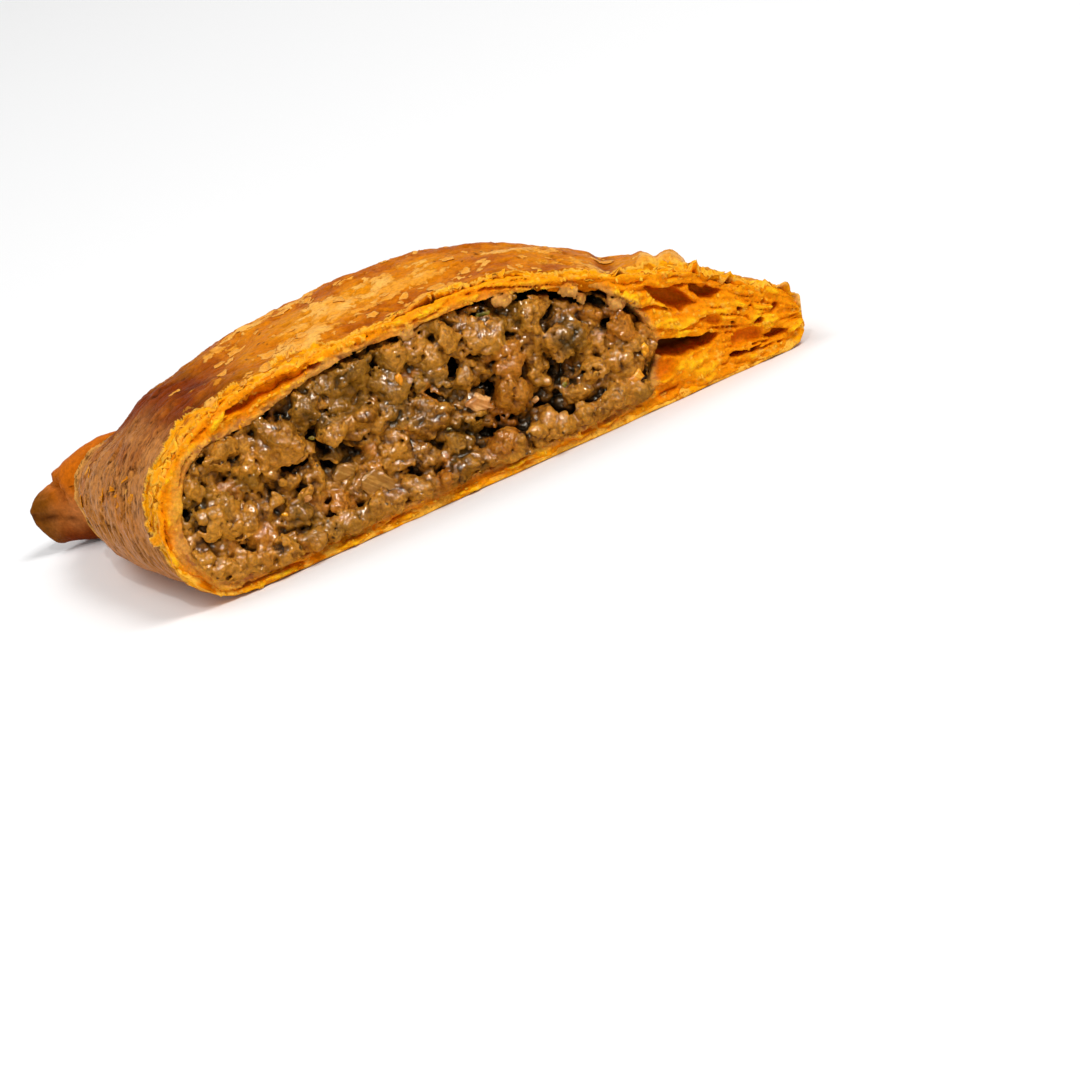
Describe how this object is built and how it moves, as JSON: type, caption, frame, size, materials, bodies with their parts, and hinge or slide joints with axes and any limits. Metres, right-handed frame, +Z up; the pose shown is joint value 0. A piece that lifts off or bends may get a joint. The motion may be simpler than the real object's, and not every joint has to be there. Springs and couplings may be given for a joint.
{
  "type": "half of a cut meat empanada",
  "caption": "Half of a golden folded meat turnover, cut across to show its minced filling and flaky layered crust, with a fork-crimped edge.",
  "frame": {"origin": "middle of the bounding box, on the flat base", "axes": "+X from the folded side to the crimped side, +Y from the cut back to the crimped end, +Z up"},
  "size_m": [0.1006, 0.0728, 0.0288],
  "materials": {
    "crust": "baked turmeric-yellow flaky pastry, browned on top, slightly oily",
    "filling": "moist brown minced meat"
  },
  "bodies": {
    "root": {"crust": "crust", "filling": "filling"}
  },
  "joints": []
}
